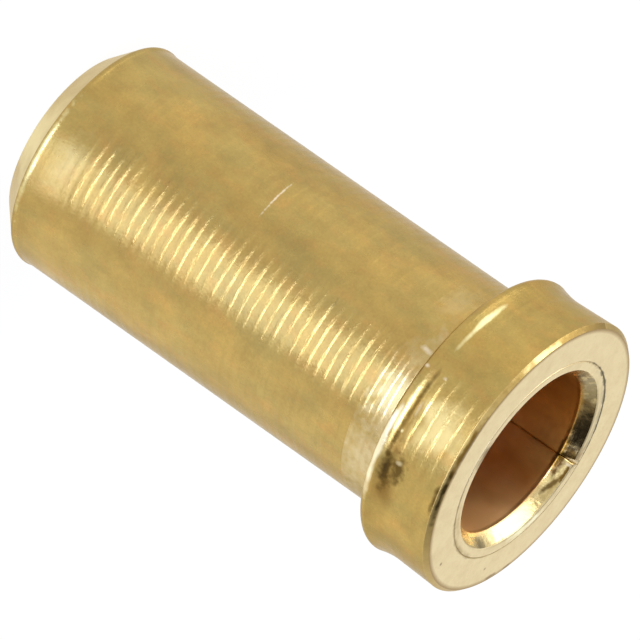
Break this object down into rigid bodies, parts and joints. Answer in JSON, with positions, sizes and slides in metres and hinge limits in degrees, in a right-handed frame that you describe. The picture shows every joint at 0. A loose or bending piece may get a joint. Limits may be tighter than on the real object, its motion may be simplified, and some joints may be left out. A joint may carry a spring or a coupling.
{
  "type": "pin receptacle",
  "caption": "Headed, closed-end round pin receptacle: a turned gold-plated shell with a rolled spring contact clip inside.",
  "frame": {"origin": "on the axis, in the plane of the head's underside where it seats on a board", "axes": "+Z along the axis out of the open mouth, +Y towards the contact clip's seam"},
  "size_m": [0.0028, 0.0028, 0.0053],
  "materials": {
    "plated_shell": "gold plating over turned brass, satin with fine feed marks",
    "plated_clip": "gold plating over rolled copper alloy strip, smooth"
  },
  "bodies": {
    "root": {"shell": "plated_shell", "contact_clip": "plated_clip"}
  },
  "joints": []
}
